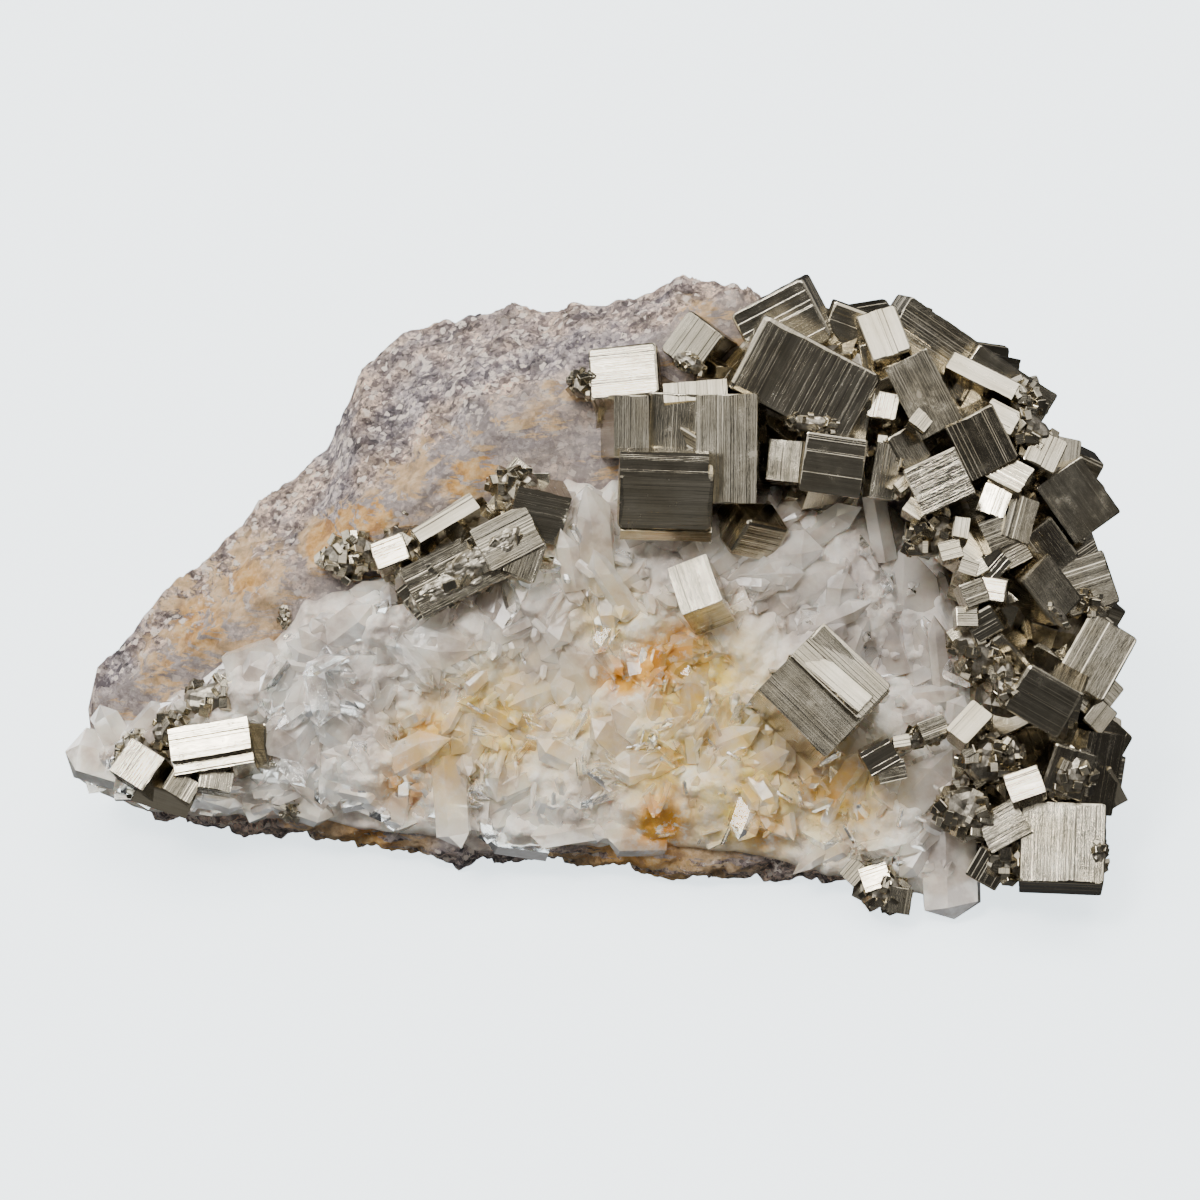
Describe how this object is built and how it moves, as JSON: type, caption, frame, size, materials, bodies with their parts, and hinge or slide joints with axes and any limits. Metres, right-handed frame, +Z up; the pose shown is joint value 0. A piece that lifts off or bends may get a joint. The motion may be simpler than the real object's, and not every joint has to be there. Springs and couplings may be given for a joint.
{
  "type": "pyrite and quartz mineral specimen",
  "caption": "Hand specimen: a broken lump of grey host rock whose steep front carries a milky quartz crystal crust, with striated pyrite cubes clustered along its top and one end.",
  "frame": {"origin": "middle of the bounding box's bottom, on the surface the specimen rests on", "axes": "+X along the specimen's length, towards the end with the large pyrite group; +Z up; -Y towards the viewer who looks at the crystal slope"},
  "size_m": [0.1639, 0.0884, 0.0806],
  "materials": {
    "rock": "rough broken face, speckled grey to pinkish beige, with ochre iron stains along the crust's edge",
    "quartz": "milky to clear vitreous crystals, yellow to orange stained in places",
    "pyrite": "bright metallic, pale brassy grey, finely striated faces"
  },
  "bodies": {
    "root": {"host_rock": "rock", "quartz_crust": "quartz", "pyrite_main_cluster": "pyrite", "pyrite_lone_cube": "pyrite", "pyrite_small_cube": "pyrite", "pyrite_upper_left_group": "pyrite", "pyrite_lower_left_group": "pyrite", "pyrite_lower_edge_group": "pyrite"}
  },
  "joints": []
}
